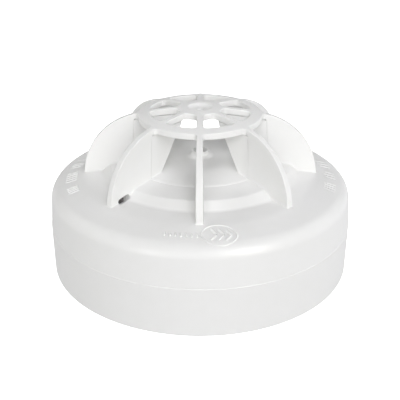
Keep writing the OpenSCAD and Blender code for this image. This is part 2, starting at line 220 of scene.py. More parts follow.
def prism(outline, low, high, edge):
    """A convex outline carried up from low to high, with both rims rounded and closed by caps: each ring is
    the outline moved inwards along its own normals by edge (1 - cos t), at edge (1 - sin t) from the end."""
    along = np.roll(outline, -1, 0) - np.roll(outline, 1, 0)
    inward = np.stack([-along[:, 1], along[:, 0]], axis=1) / np.linalg.norm(along, axis=1, keepdims=True)
    if (inward * (outline.mean(0) - outline)).sum() < 0:
        inward = -inward
    t = np.linspace(math.pi / 2, 0, 4)
    step_in = np.concatenate([edge * (1 - np.cos(t)), edge * (1 - np.cos(t[::-1]))])
    heights = np.concatenate([low + edge * (1 - np.sin(t)), high - edge * (1 - np.sin(t[::-1]))])
    ring = outline[None] + step_in[:, None, None] * inward[None]
    points = np.concatenate([ring, np.broadcast_to(heights[:, None, None], ring.shape[:2] + (1,))], axis=2)
    middle = outline.mean(0)
    ends = np.array([[*middle, heights[0]], [*middle, heights[-1]]])
    caps = np.broadcast_to(ends[:, None], (2, len(outline), 3))
    points = np.concatenate([caps[:1], points, caps[1:]]).reshape(-1, 3)
    return points, grid_faces(len(heights) + 2, len(outline), close_cols=True)


def stadium(span, width, steps=12):
    """Outline of a slot with round ends, span long over all."""
    t = np.linspace(-math.pi / 2, math.pi / 2, steps)
    end = np.stack([np.cos(t), np.sin(t)], axis=1) * width / 2 + [(span - width) / 2, 0]
    return np.concatenate([end, -end])


def welded(name, parts):
    """A mesh in metres from parts in millimetres: doubles merged and faces turned outwards."""
    points, faces = joined(parts)
    mesh = bpy.data.meshes.new(name)
    mesh.from_pydata((points * MM).tolist(), [], faces.tolist())
    shape = bmesh.new()
    shape.from_mesh(mesh)
    bmesh.ops.remove_doubles(shape, verts=shape.verts, dist=WELD)
    bmesh.ops.dissolve_degenerate(shape, edges=shape.edges, dist=DEGENERATE)
    bmesh.ops.recalc_face_normals(shape, faces=shape.faces)
    shape.to_mesh(mesh)
    shape.free()
    return mesh


def make_piece(name, parts, material, body, *nodes, sharp=SHARP, slot="moulded_white"):
    """One object from parts in millimetres, smooth but for the creases sharper than that many degrees."""
    mesh = welded(name, parts)
    mesh.shade_smooth()
    mesh.set_sharp_from_angle(angle=math.radians(sharp))
    mesh.materials.append(material)
    piece = bpy.data.objects.new(name, mesh)
    bpy.context.scene.collection.objects.link(piece)
    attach(piece, body)
    if nodes:
        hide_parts(*nodes)
    return piece


def weigh_normals(piece):
    """Weights the normals by area, so that flats stay flat beside their rounded edges."""
    weighting = piece.modifiers.new("area_normals", "WEIGHTED_NORMAL")
    weighting.keep_sharp = True
    weighting.weight = 80


def cut(piece, *cutters):
    """Takes the cutters, closed parts in millimetres, out of a piece and applies the result."""
    tool = bpy.data.objects.new("cutter", welded("cutter", cutters))
    bpy.context.scene.collection.objects.link(tool)
    taking = piece.modifiers.new("opening", "BOOLEAN")
    taking.operation = "DIFFERENCE"
    taking.solver = "EXACT"
    taking.object = tool
    bpy.context.view_layer.update()
    result = bpy.data.meshes.new_from_object(piece.evaluated_get(bpy.context.evaluated_depsgraph_get()))
    piece.modifiers.remove(taking)
    piece.data = result
    result.set_sharp_from_angle(angle=math.radians(SHARP))
    bpy.data.objects.remove(tool)


# Shader nodes


class Value:
    """A number socket: an expression on it adds the Math nodes that work it out."""

    def __init__(self, shader, socket):
        self.shader, self.socket = shader, socket

    def math(self, operation, *values):
        return self.shader.node("ShaderNodeMath", {"operation": operation}, *values)

    def __add__(self, other):
        return self.math("ADD", self, other)

    __radd__ = __add__

    def __mul__(self, other):
        return self.math("MULTIPLY", self, other)

    __rmul__ = __mul__

    def __sub__(self, other):
        return self.math("SUBTRACT", self, other)

    def __rsub__(self, other):
        return self.math("SUBTRACT", other, self)


class Shader:
    """The node tree of a material, or of the world, with one method that adds a node."""

    def __init__(self, name, sky=False):
        self.made = (bpy.data.worlds if sky else bpy.data.materials).new(name)
        self.made.use_nodes = True
        self.tree = self.made.node_tree
        self.tree.nodes.clear()
        out = self.tree.nodes.new("ShaderNodeOutputWorld" if sky else "ShaderNodeOutputMaterial")
        self.surface = out.inputs["Surface"]

    def put(self, socket, value):
        """Sets an input socket, or links another node's output to it."""
        if isinstance(value, Value):
            self.tree.links.new(value.socket, socket)
        elif hasattr(socket.default_value, "__len__") and len(value) == 3 and len(socket.default_value) == 4:
            socket.default_value = (*value, 1)
        else:
            socket.default_value = value

    def node(self, kind, settings, *values, output=0, **named):
        """Adds a node: its settings first, then its inputs by place or by name. Returns one output."""
        made = self.tree.nodes.new(kind)
        for key, value in settings.items():
            setattr(made, key, value)
        for socket, value in zip(made.inputs, values):
            self.put(socket, value)
        for key, value in named.items():
            self.put(made.inputs[key.replace("_", " ")], value)
        return Value(self, made.outputs[output])

    def place(self, scale=1 / MM, offset=(0, 0, 0)):
        """Object coordinates in millimetres, or scaled by axis."""
        here = self.node("ShaderNodeTexCoord", {}, output="Object")
        scales = scale if hasattr(scale, "__len__") else (scale,) * 3
        return self.node("ShaderNodeMapping", {}, Vector=here, Scale=scales, Location=offset)

    def noise(self, at, scale, detail=2.0, roughness=0.5):
        return self.node("ShaderNodeTexNoise", {}, Vector=at, Scale=scale, Detail=detail, Roughness=roughness)

    def ramp(self, value, low, high):
        """value mapped from low..high to 0..1, clamped."""
        return self.node("ShaderNodeMapRange", {"clamp": True}, Value=value, From_Min=low, From_Max=high)

    def blend(self, share, a, b):
        """Colour a where share is 0, b where it is 1."""
        made = self.tree.nodes.new("ShaderNodeMix")
        made.data_type = "RGBA"
        for key, value in (("Factor_Float", share), ("A_Color", a), ("B_Color", b)):
            self.put(next(s for s in made.inputs if s.identifier == key), value)
        return Value(self, next(s for s in made.outputs if s.identifier == "Result_Color"))

    def bump(self, height, distance, strength=1.0):
        """A normal from a height of 0 to 1 that stands for that distance in metres."""
        return self.node("ShaderNodeBump", {}, Height=height, Distance=distance, Strength=strength)

    def finish(self, **inputs):
        """The Principled shader with these inputs, as the surface."""
        made = self.tree.nodes.new("ShaderNodeBsdfPrincipled")
        for key, value in inputs.items():
            self.put(made.inputs[key.replace("_", " ")], value)
        self.tree.links.new(made.outputs["BSDF"], self.surface)
        return self.made


def mixed(a, b, share):
    """Plain colour between a and b, worked out in Python."""
    return tuple(x + (y - x) * share for x, y in zip(a, b))


def moulded_plastic(name, colour_rgb, roughness, grain, seed):
    """White moulding: fine spark-eroded grain, faint flow marks that change the gloss, a trace of dulling."""
    s = Shader(name)
    at = s.place(offset=(seed, seed * 0.7, seed * 0.3))
    flow = s.noise(at, 0.045, 3.0, 0.55)
    cloud = s.noise(at, 0.21, 4.0, 0.6)
    spark = s.noise(at, 4.2, 3.0, 0.65)
    pits = s.node("ShaderNodeTexVoronoi", {"feature": "F1"}, Vector=at, Scale=2.6)
    tint = s.blend(s.ramp(cloud, 0.35, 0.7), colour_rgb, mixed(colour_rgb, (0.76, 0.76, 0.74), 0.25))
    gloss = s.ramp(flow, 0.3, 0.7) * 0.07 + s.ramp(spark, 0.3, 0.7) * 0.05 + (roughness - 0.06)
    grainy = s.bump(spark * 0.7 + s.ramp(pits, 0.0, 0.5) * 0.3, 0.000012 * grain, 0.6)
    return s.finish(Base_Color=tint, Roughness=gloss, Normal=grainy, IOR=1.5)


def sheet_metal(name, colour_rgb, roughness, streak=(1.0, 0.06, 1.0)):
    """Stamped or plated metal: fine drawing lines along one axis, clouds of tarnish and small scratches."""
    s = Shader(name)
    lines = s.noise(s.place(tuple(k / MM for k in streak)), 9.0, 2.0, 0.7)
    cloud = s.noise(s.place(), 0.9, 4.0, 0.6)
    tint = s.blend(s.ramp(cloud, 0.4, 0.75), colour_rgb, tuple(c * 0.62 for c in colour_rgb))
    rough = s.ramp(lines, 0.3, 0.7) * 0.16 + s.ramp(cloud, 0.35, 0.7) * 0.1 + roughness
    return s.finish(Base_Color=tint, Roughness=rough, Metallic=1.0, Normal=s.bump(lines, 0.000006))


def solder_mask(name, colour_rgb):
    """Board: solder mask over tracks, as a brick pattern of raised copper, with the weave of the glass."""
    s = Shader(name)
    at = s.place()
    brick, bands = {"offset": 0.5}, {"wave_type": "BANDS"}
    tracks = s.node("ShaderNodeTexBrick", brick, Vector=at, Scale=0.35, Mortar_Size=0.03, output="Fac")
    weave = s.node("ShaderNodeTexWave", bands, Vector=at, Scale=1.4, Distortion=1.0, output="Fac")
    tint = s.blend(tracks, colour_rgb, tuple(min(1, c * 2.1) for c in colour_rgb))
    rough = s.ramp(weave, 0.0, 1.0) * 0.08 + 0.3
    return s.finish(Base_Color=tint, Roughness=rough, Normal=s.bump(tracks + weave * 0.1, 0.00003))


def moulded_epoxy(name, colour_rgb, roughness):
    """Chip bodies and the bead: matt epoxy with a fine sandy surface."""
    s = Shader(name)
    sand = s.noise(s.place(), 7.0, 3.0, 0.7)
    tint = s.blend(s.ramp(sand, 0.35, 0.75), colour_rgb, tuple(c * 1.5 + 0.01 for c in colour_rgb))
    return s.finish(
        Base_Color=tint, Roughness=s.ramp(sand, 0.3, 0.7) * 0.15 + roughness, Normal=s.bump(sand, 0.000015)
    )


def tinted_lens(name, colour_rgb):
    """Smoked lens: dark and glossy, with faint moulding swirls under the skin."""
    s = Shader(name)
    swirl = s.noise(s.place(), 1.3, 3.0, 0.5)
    tint = s.blend(s.ramp(swirl, 0.3, 0.7), colour_rgb, tuple(c * 1.8 for c in colour_rgb))
    return s.finish(Base_Color=tint, Roughness=s.ramp(swirl, 0.3, 0.7) * 0.05 + 0.12, Coat_Weight=0.6)


# The white mouldings: how coarse the grain is, and where in the noise their own flow marks lie
MOULDINGS = {"cover": (1.0, 0.0), "shroud": (1.0, 37.0), "base": (1.4, 71.0), "plate": (1.0, 113.0)}


def white(context, part):
    """The white plastic of one moulding."""
    finish = context.scene.detector_finishes
    return moulded_plastic(part + "_plastic", tuple(finish.plastic), finish.gloss, *MOULDINGS[part])


# Cover: sizes in millimetres, points as radius and height

BORE_R = 22.25
LAND_Z = 35.2
SEAM_LIP = 0.14
STEP_TOP = np.array([29.4, 33.9])
STEP_FOOT = np.array([32.4, 31.45])
SLOPE_MID = np.array([38.9, 30.72])
SHOULDER = np.array([49.12, 28.46])
CREASE_TOP = np.array([21.2, 49.3])
DOME_R = 95.0
DISH_R = 3.9
CROWN_TOP = float(COVER_HIGH[2]) + DOME_R - math.sqrt(DOME_R**2 - DISH_R**2)
CROWN_R = 19.92
ARC_STEPS = 9
TOP_CORNERS = 7  # corners of the cap's section from the bore to the shoulder
SUNK = 0.3
FIN_FOOT = np.array([38.62, 30.6])
FIN_MID = np.array([31.98, 45.18])
FIN_ROOT = 0.5  # how deep the fins stand in the cap
FIN_LAP = 1.2  # how far the fins run in under the crown's rim
FIN_BACK = 0.35
WINDOW_FIN = -45.0  # degrees from the front, positive to the right
WINDOW_MID = np.array([33.6, 31.95])
WINDOW_TILT = math.radians(-14)
WINDOW_SPAN = 4.5
WINDOW_WIDTH = 1.8
WINDOW_REACH = 2.1
BAR_R = 34.7
BAR_HALF = (1.45, 0.85)
LENS_EASE = 0.94
LENS_TOP = 32.35
CROWN_REACH = 1.5
DISH_RIM = 0.3
DISH_DEPTH = 1.15
DISH_HOLE = 1.03

# The raised marks: places as x and y, or as degrees from the front, positive to the right
OVAL_MID = np.array([5.7, -42.9])
OVAL_HALF = np.array([5.1, 4.05])
CHEVRONS = (-1.9, 0.2, 2.3)
CHEVRON_HALF = 2.3
LEFT_RIBS = (-68.6, -70.3, -71.9, -73.5, -80.3, -82.4, -84.6, -86.8, -89.0, -95.8, -98.1, -100.4, -105.0)
RIGHT_RIBS = (72.5, 74.6, 76.7, 78.8, 85.5, 88.0, 91.0, 97.5, 100.5, 103.5)


def cap_profile(sizes):
    """Section of the cap: land, step, gentle slope, rounded shoulder, skirt with draft and the inner wall."""
    t = sizes.shell
    outside = [
        (BORE_R, LAND_Z + 0.1), (BORE_R + 0.32, LAND_Z + 0.06), (BORE_R + 0.4, LAND_Z - 0.07), STEP_TOP,
        STEP_FOOT, SLOPE_MID, SHOULDER, (BODY_R - 0.1, SEAM_Z - SEAM_LIP),
    ]
    outside_radii = [0.1, 0.1, 0.05, 1.3, 2.4, 22, sizes.shoulder, 0.2]
    inside = [
        (BODY_R - t, SEAM_Z - SEAM_LIP), SHOULDER - (t, t), SLOPE_MID - (0.3, t), STEP_FOOT - (0.7, t),
        STEP_TOP - (0.7, t), (BORE_R, LAND_Z - t),
    ]
    inside_radii = [0.2, sizes.shoulder - t, 8, 0.8, 0.6, 0.2]
    return rounded(outside + inside, outside_radii + inside_radii, ARC_STEPS)


def cap_top(sizes):
    """Height of the cap's outside from the bore to the shoulder, as a function of the radius."""
    outside = cap_profile(sizes)[:ARC_STEPS * TOP_CORNERS]
    return lambda r: np.interp(r, outside[:, 0], outside[:, 1])


def run_along(line):
    """Length of a polyline from its first point to each of its points."""
    return np.cumsum(np.r_[0, np.linalg.norm(np.diff(line, axis=0), axis=1)])


def bead(line, width, height, ground, closed=False):
    """A raised line over the ground. Across the line it is half an ellipse, height cos t tall at
    width / 2 sin t from the middle. Both shrink towards an open end as the root of 1 - e^2, where e is how
    far into the end's round a point lies. Its foot is sunk under the ground."""
    if closed:
        along = np.roll(line, -1, 0) - np.roll(line, 1, 0)
        share = np.ones(len(line))
    else:
        along = np.gradient(line, axis=0)
        run = run_along(line)
        share = np.sqrt(1 - np.clip(1 - np.minimum(run, run[-1] - run) / (width / 2), 0, 1) ** 2)
    normal = np.stack([-along[:, 1], along[:, 0]], axis=1) / np.linalg.norm(along, axis=1, keepdims=True)
    t = np.linspace(-math.pi / 2, math.pi / 2, 6)
    off = np.r_[np.sin(t), 1, -1] * width / 2
    flat = line[:, None] + normal[:, None] * (off * share[:, None])[..., None]
    lift = np.concatenate([np.cos(t) * height * share[:, None], np.full((len(line), 2), -SUNK)], axis=1)
    z = ground(np.linalg.norm(flat, axis=2)) + lift
    points = np.concatenate([flat, z[..., None]], axis=2).reshape(-1, 3)
    return points, grid_faces(len(line), len(off), close_rows=closed, close_cols=True)


def bar(start, end, width, height, ground):
    """A straight bead between two points, with its own points crowded towards the ends."""
    share = (1 - np.cos(np.linspace(0, math.pi, 9)))[:, None] / 2
    return bead(np.array(start) + (np.array(end) - start) * share, width, height, ground)


def around(degrees, r):
    """Plan position at an angle from the front, positive to the right."""
    a = math.radians(degrees)
    return np.array([r * math.sin(a), -r * math.cos(a)])


def raised_marks(ground):
    """Plain marks in place of lettering: an oval with three chevrons, a row of bars, and radial ribs on both
    shoulders."""
    t = np.linspace(0, 2 * math.pi, 72, endpoint=False)
    oval = OVAL_MID + OVAL_HALF * np.stack([np.cos(t), np.sin(t)], axis=1)
    parts = [bead(oval, 0.45, 0.26, ground, closed=True)]
    for x in CHEVRONS:
        for y in (CHEVRON_HALF, -CHEVRON_HALF):
            parts.append(bar(OVAL_MID + (x - 0.5, y), OVAL_MID + (x + 1.2, 0), 0.8, 0.4, ground))
    for k in range(7):
        a = -13.2 + 2.03 * k
        parts.append(bar(around(a, 42.6), around(a + 0.5, 44.3), 0.6, 0.42, ground))
    for a in LEFT_RIBS:
        parts.append(bar(around(a, 44.5), around(a - 0.8, 40.6), 0.42, 0.2, ground))
    for a in RIGHT_RIBS:
        parts.append(bar(around(a, 45.0), around(a + 0.8, 41.2), 0.42, 0.13, ground))
    return parts


def surface_z(r):
    """Height of the cap's outline at radius r, averaged over 1 mm, which the fins are rooted in."""
    line = np.array([(BORE_R - 4, LAND_Z + 0.7), (BORE_R, LAND_Z), STEP_TOP, STEP_FOOT, SLOPE_MID, SHOULDER])
    soft = np.stack([np.interp(r + d, line[:, 0], line[:, 1]) for d in np.linspace(-0.5, 0.5, 5)])
    return soft.mean(0)


def circle_through(p, q, s):
    """Centre and radius of the circle through three points, from the two perpendicular bisectors."""
    a = np.array([q - p, s - p]) * 2
    b = np.array([q @ q - p @ p, s @ s - p @ p])
    centre = np.linalg.solve(a, b)
    return centre, float(np.linalg.norm(p - centre))


def dome_z(r):
    """Height of the crown's top, a sphere of radius DOME_R."""
    return CROWN_TOP - DOME_R + np.sqrt(DOME_R**2 - r**2)


def spread(count, end, lead):
    """count numbers from 0 to end, closer together near 0 by the power lead."""
    return end * np.linspace(0, 1, count) ** lead


def flare(h, radius):
    """How far a fillet of that radius spreads a wall at height h above the floor it stands on."""
    g = np.clip(radius - h, 0, radius)
    return radius - np.sqrt(np.maximum(radius**2 - g**2, 0))


def plate_between(root, free, back, top, half, root_r, edge_r, back_r, floor):
    """A thin plate in a vertical plane through the axis. Its side is a Coons patch of (radius, height)
    between four curves: root and top run from the back edge to the free edge, free and back from the root up.
    Each point stands off the plane by half the thickness there, less the rounding near the free and back
    edges, plus the fillet near the root."""
    na, ns = len(free), len(root)
    a, s = run_along(free)[:, None, None], run_along(root)[None, :, None]
    a, s = a / a.max(), s / s.max()
    flat = (1 - s) * back[:, None] + s * free[:, None] + (1 - a) * root[None] + a * top[None]
    corners = (1 - s) * (1 - a) * root[0] + s * (1 - a) * root[-1] + (1 - s) * a * top[0] + s * a * top[-1]
    side = flat - corners
    off = np.linalg.norm(side - free[:, None], axis=2)
    behind = np.linalg.norm(side - back[:, None], axis=2)
    above = side[..., 1] - floor(side[..., 0])
    stand = half(side[..., 1]) - flare(off, edge_r) - flare(behind, back_r) + flare(above, root_r)
    left = np.concatenate([side, stand[..., None]], axis=2)
    right = np.concatenate([side, -stand[..., None]], axis=2)
    loop = np.concatenate([left, right[:, ::-1]], axis=1)
    points = np.stack([loop[..., 0], loop[..., 2], loop[..., 1]], axis=-1)
    cols = points.shape[1]
    faces = grid_faces(na, cols, close_cols=True)
    k = np.arange(ns - 1)
    end = np.stack([k, k + 1, cols - 2 - k, cols - 1 - k], axis=1)
    ends = [end, end + (na - 1) * cols]
    return points.reshape(-1, 3), np.concatenate([faces, *ends])


def resample(line, shares):
    """Points of a polyline at these shares of its length."""
    run = run_along(line)
    return np.stack([np.interp(shares * run[-1], run, line[:, k]) for k in (0, 1)], axis=1)


def fin_plate(sizes):
    """One fin along +X: its free edge is the arc through the crown's rim, the fin's middle and its foot."""
    foot = np.array([FIN_FOOT[0], float(surface_z(FIN_FOOT[:1])[0]) - FIN_ROOT])
    rim = np.array([CROWN_R, float(dome_z(CROWN_R)) - 0.02])
    centre, radius = circle_through(FIN_FOOT, FIN_MID, rim)
    start = math.atan2(foot[1] - centre[1], foot[0] - centre[0])
    end = math.atan2(rim[1] - centre[1], rim[0] - centre[0])
    up = np.concatenate([spread(10, 0.06, 1.2)[:-1], np.linspace(0.06, 1, 46)])
    angle = start + (end - start) * up
    free = centre + radius * np.stack([np.cos(angle), np.sin(angle)], axis=1)
    free[:, 0] += flare(free[:, 1] - surface_z(free[:, 0]), sizes.fin_root)
    inner_end = np.array([CROWN_R - FIN_LAP, float(dome_z(CROWN_R - FIN_LAP)) - 0.02])
    free = np.concatenate([free, np.linspace(rim, inner_end, 4)[1:]])
    across = np.r_[0, 0.006, 0.012, 0.018, 0.024, 1 - spread(30, 1, 1.9)[-2::-1]]
    r = BORE_R + 0.02 + (foot[0] - BORE_R - 0.02) * across
    root = np.stack([r, surface_z(r) - FIN_ROOT], axis=1)
    root[-1] = free[0]
    back_line = np.array([root[0], CREASE_TOP, (CROWN_R - FIN_LAP, CREASE_TOP[1] + 0.25)])
    back = resample(back_line, np.linspace(0, 1, len(free)))
    top = back[-1] + (free[-1] - back[-1]) * across[:, None]

    def half(z):
        """Half the fin's thickness, from its foot to its top."""
        share = np.clip((z - foot[1]) / (rim[1] - foot[1]), 0, 1)
        return (sizes.fin_foot_t + (sizes.fin_top_t - sizes.fin_foot_t) * share) / 2

    return plate_between(root, free, back, top, half, sizes.fin_root, sizes.fin_edge, FIN_BACK, surface_z)


def window_cutter():
    """The indicator window: a slot along the foot of one fin, carried through its thickness."""
    slot = stadium(WINDOW_SPAN, WINDOW_WIDTH)
    c, s = math.cos(WINDOW_TILT), math.sin(WINDOW_TILT)
    slot = slot @ np.array([[c, s], [-s, c]]) + WINDOW_MID
    points, faces = prism(slot, -WINDOW_REACH, WINDOW_REACH, 0.0)
    return turned((np.stack([points[:, 0], points[:, 2], points[:, 1]], axis=1), faces), WINDOW_FIN - 90)


def bar_block(corner, steps, ease, low, high, edge):
    """A rounded block in the light bar's place. Its outline is the bar's hole times ease."""
    x, y = BAR_HALF
    outline = rounded([(-x, -y), (x, -y), (x, y), (-x, y)], [corner] * 4, steps) * ease
    points, faces = prism(outline, low, high, edge)
    return turned((points + [BAR_R, 0, 0], faces), WINDOW_FIN - 90)


def bar_cutter():
    """The hole for the light bar, up through the cap's wall under the window."""
    return bar_block(0.3, 4, 1.0, PIPE_FOOT - 1, WINDOW_MID[1], 0.0)


def lens_bar():
    """The light bar: its domed top fills the outer part of the window."""
    return bar_block(0.35, 5, LENS_EASE, PIPE_FOOT, LENS_TOP, 0.3)


def smooth_union(d1, d2, radius):
    """Distance to the union of two shapes from the distances to each. Where both are under the radius, the
    border is an arc of that radius that is tangent to both shapes, so the inner corner is filled."""
    corner = radius - np.hypot(np.maximum(radius - d1, 0), np.maximum(radius - d2, 0))
    return np.where((d1 < radius) & (d2 < radius), corner, np.minimum(d1, d2))


def crown_cell(sizes, fin_half):
    """One eighth of the crown: the plate round one opening. Rays from the middle of the opening meet its
    outline, where the distances to ring, hub and spokes, each eased by the corner radius, have a root sum of
    squares equal to that radius, and meet the cell's border: the dish's circle, the middle planes of two
    spokes, and the union of the rim's circle with the ends of two fins. Returns the top, hole and underside
    as a closed grid over the rays, and the rim as a grid over the rays that meet it."""
    half_angle = math.pi / FINS
    edge = sizes.edge
    outer, inner = CROWN_R + CROWN_REACH - edge, sizes.dish_r + DISH_RIM
    middle = np.array([(sizes.opening_r + sizes.hub_r) / 2 + 0.6, 0.0])
    corners = np.array([(r * math.cos(half_angle), r * math.sin(half_angle)) for r in (outer, inner)])
    a, b = (math.atan2(p[1], p[0]) for p in corners - middle)
    bend = math.radians(39)  # past it the rays stand closer, for the fillet between rim and fin
    half = np.concatenate([
        np.linspace(0, bend, 13)[:-1], np.linspace(bend, a, 20)[:-1], np.linspace(a, b, 15)[:-1],
        np.linspace(b, math.pi, 8),
    ])
    angle = np.concatenate([half, -half[-2:0:-1]])
    ray = np.stack([np.cos(angle), np.sin(angle)], axis=1)
    across = np.array([math.sin(half_angle), math.cos(half_angle)])

    def beyond(p):
        """Distances past the middle planes of the two spokes."""
        return np.stack([p @ (across * (-1, 1)), p @ (-across)])

    def rim(p):
        """Distance past the crown's rim with the fillets to its fins."""
        r = np.linalg.norm(p, axis=1)
        to_fin = np.abs(beyond(p)).min(0) - fin_half
        return np.maximum(smooth_union(r - CROWN_R, to_fin, sizes.blend), r - CROWN_R - CROWN_REACH)

    def hole(p):
        """Distance past the opening's outline."""
        r = np.linalg.norm(p, axis=1)
        gaps = np.stack([r - sizes.opening_r, sizes.hub_r - r, *(beyond(p) + sizes.spoke / 2)])
        return np.sqrt((np.maximum(gaps + sizes.corner, 0) ** 2).sum(0)) - sizes.corner

    def border(p):
        """Distance past the cell's border, less the rounding of the rim."""
        return np.maximum(np.maximum(rim(p) + edge, inner - np.linalg.norm(p, axis=1)), beyond(p).max(0))

    def reach(test):
        """How far along each ray the test turns positive, by halving."""
        low, high = np.zeros(len(ray)), np.full(len(ray), 30.0)
        for _ in range(44):
            mid = (low + high) / 2
            inside = test(middle + ray * mid[:, None]) < 0
            low, high = np.where(inside, mid, low), np.where(inside, high, mid)
        return low

    near, far = reach(hole), reach(border)
    t = np.linspace(0, math.pi / 2, 5)
    down = edge * (1 - np.cos(t))
    share = np.r_[np.linspace(1, 0.12, 6), np.zeros(10), np.linspace(0.12, 1, 6)]
    back = np.r_[np.zeros(5), edge, edge * (1 - np.sin(t)), edge * (1 - np.sin(t[::-1])), edge, np.zeros(5)]
    drop = np.r_[np.zeros(6), down, sizes.plate - down[::-1], np.full(6, sizes.plate)]
    at = near + (far - near) * share[:, None] + back[:, None] * (1 - share[:, None])
    flat = middle + ray[None] * at[..., None]
    z = dome_z(np.linalg.norm(flat, axis=2)) - drop[:, None]
    cell = np.concatenate([flat, z[..., None]], axis=2)
    turn = int(np.argmin(np.abs(half - a)))
    picks = np.r_[len(angle) - turn:len(angle), 0:turn + 1]
    line = flat[0, picks]
    slope = np.stack([rim(line + step) - rim(line - step) for step in np.eye(2) * 1e-5], axis=1)
    outward = slope / np.linalg.norm(slope, axis=1, keepdims=True)
    out = edge * np.r_[np.sin(t), np.sin(t[::-1])]
    strip = line[None] + outward[None] * out[:, None, None]
    fall = np.r_[down, sizes.plate - down[::-1]]
    z = dome_z(np.linalg.norm(line, axis=1))[None] - fall[:, None]
    return cell, np.concatenate([strip, z[..., None]], axis=2)


def crown_parts(sizes, fin_half):
    """The eight cells, with the dish and its blind hole carried round the angles of the cells' own border
    points."""
    cell, strip = crown_cell(sizes, fin_half)
    cell_part = (cell.reshape(-1, 3), grid_faces(*cell.shape[:2], close_cols=True))
    strip_part = (strip.reshape(-1, 3), grid_faces(*strip.shape[:2]))
    turns = [-90 + (k + 0.5) * 360 / FINS for k in range(FINS)]
    parts = [turned(part, turn) for turn in turns for part in (cell_part, strip_part)]
    border = cell[0]
    inner = sizes.dish_r + DISH_RIM
    on = border[np.abs(np.hypot(border[:, 0], border[:, 1]) - inner) < 1e-6]
    own = np.unique(np.round(np.arctan2(on[:, 1], on[:, 0]), 9))[:-1]
    a = np.sort((own[None] + (np.arange(FINS)[:, None] + 0.5) * 2 * math.pi / FINS).ravel())
    top, under = float(dome_z(inner)), float(dome_z(inner)) - sizes.plate
    lip, floor = sizes.dish_r, CROWN_TOP - DISH_DEPTH
    dish = np.array([
        (inner, top), (lip + 0.1, top - 0.015), (lip - 0.06, top - 0.1), (lip - 0.2, top - 0.28),
        (lip - 0.95, floor + 0.16), (lip - 1.25, floor + 0.04), (lip - 1.6, floor),
        (DISH_HOLE + 0.2, floor - 0.02), (DISH_HOLE + 0.05, floor - 0.07), (DISH_HOLE, floor - 0.18),
        (DISH_HOLE, under - 0.6), (0, under - 0.7), (0, under - 1.2), (DISH_HOLE + 0.6, under - 1.2),
        (DISH_HOLE + 0.9, under), (inner, under),
    ])
    x, y = np.cos(a)[:, None] * dish[:, 0], np.sin(a)[:, None] * dish[:, 0]
    points = np.stack([x, y, np.broadcast_to(dish[:, 1], x.shape)], axis=-1)
    parts.append(turned((points.reshape(-1, 3), grid_faces(len(a), len(dish), close_rows=True)), -90))
    return parts


# Shroud

SHROUD_R = 22.2
SHROUD_TOP = 36.6
SHROUD_DROP = 1.35
RIM_R = 3.05
RIM_Z = 38.6
RIM_FOOT_Z = 37.9
FLARE_R = 4.6
WEB_FOOT_R = 17.95
WEB_OUTER_R = 21.7
WEB_TOP_R = 8.6
WEB_ROOT = 0.4
WEB_GAP = 0.06


def shroud_z(r):
    """Height of the shroud's dome, which falls with the fourth power of the radius."""
    return SHROUD_TOP - SHROUD_DROP * (r / SHROUD_R) ** 4


def shroud_profile():
    """Section of the shroud: tube for the leads, hollow rim, flared foot of the rim, dome and flange."""
    r = np.linspace(FLARE_R, SHROUD_R - 0.25, 26)
    t = np.linspace(0, 1, 9)[1:-1, None]
    start, bend = np.array([RIM_R, RIM_FOOT_Z]), np.array([RIM_R + 0.12, 36.75])
    end = np.array([FLARE_R, shroud_z(FLARE_R)])
    foot = (1 - t) ** 2 * start + 2 * t * (1 - t) * bend + t**2 * end
    rim = rounded(
        [(RIM_R, RIM_FOOT_Z), (RIM_R, RIM_Z), (RIM_R - 0.75, RIM_Z), (1.75, RIM_Z - 1.2), (1.4, RIM_Z - 1.7),
         (1.4, 25), (2.8, 25), (2.8, 34.8), (18, 34.2), (20.4, 31.9), (20.4, 31), (26, 31), (26, 32),
         (SHROUD_R, 32)],
        [0, 0.22, 0.3, 0.3, 0.3, 0.1, 0.1, 0.3, 0.5, 0.3, 0.2, 0.3, 0.3, 0.2], 6,
    )
    shoulder = np.array([(SHROUD_R, shroud_z(SHROUD_R) - 0.22), (SHROUD_R - 0.07, shroud_z(SHROUD_R) - 0.07)])
    dome = np.stack([r, shroud_z(r)], axis=1)
    return np.concatenate([rim, shoulder, dome[::-1], foot[::-1]])


def web_plate(crown):
    """One web along +X: its free edge rises inwards from the dome to the underside of the crown, which its
    top follows."""
    def under(r):
        """Height just below the crown's underside."""
        return dome_z(r) - crown.plate - WEB_GAP

    line = np.array([
        (WEB_FOOT_R, shroud_z(WEB_FOOT_R) - WEB_ROOT), (17.9, shroud_z(17.9) + 0.05), (17.0, 37.4),
        (14.4, 41.5), (11.95, 45.5), (9.4, 48.9), (WEB_TOP_R, under(WEB_TOP_R)),
    ])
    fine = resample(line, np.linspace(0, 1, 200))
    padded = np.pad(fine, ((4, 4), (0, 0)), mode="edge")
    soft = np.stack([np.convolve(padded[:, k], np.ones(9) / 9, "valid") for k in (0, 1)], axis=1)
    up = spread(44, 1, 1.25)
    free = resample(soft, up)
    across = 1 - spread(24, 1, 1.7)[::-1]
    r = SHROUD_R + 0.3 + (free[0, 0] - SHROUD_R - 0.3) * across
    root = np.stack([r, shroud_z(r) - WEB_ROOT], axis=1)
    root[-1] = free[0]
    back = resample(np.array([root[0], (WEB_OUTER_R, under(WEB_OUTER_R))]), up)
    r = WEB_OUTER_R + (free[-1, 0] - WEB_OUTER_R) * across
    top = np.stack([r, under(r)], axis=1)

    def half(z):
        """Half the web's thickness, which thins upwards."""
        return 0.92 - 0.1 * np.clip((z - 36) / 13, 0, 1)

    return plate_between(root, free, back, top, half, 0.3, 0.3, 0.0, shroud_z)


# Base

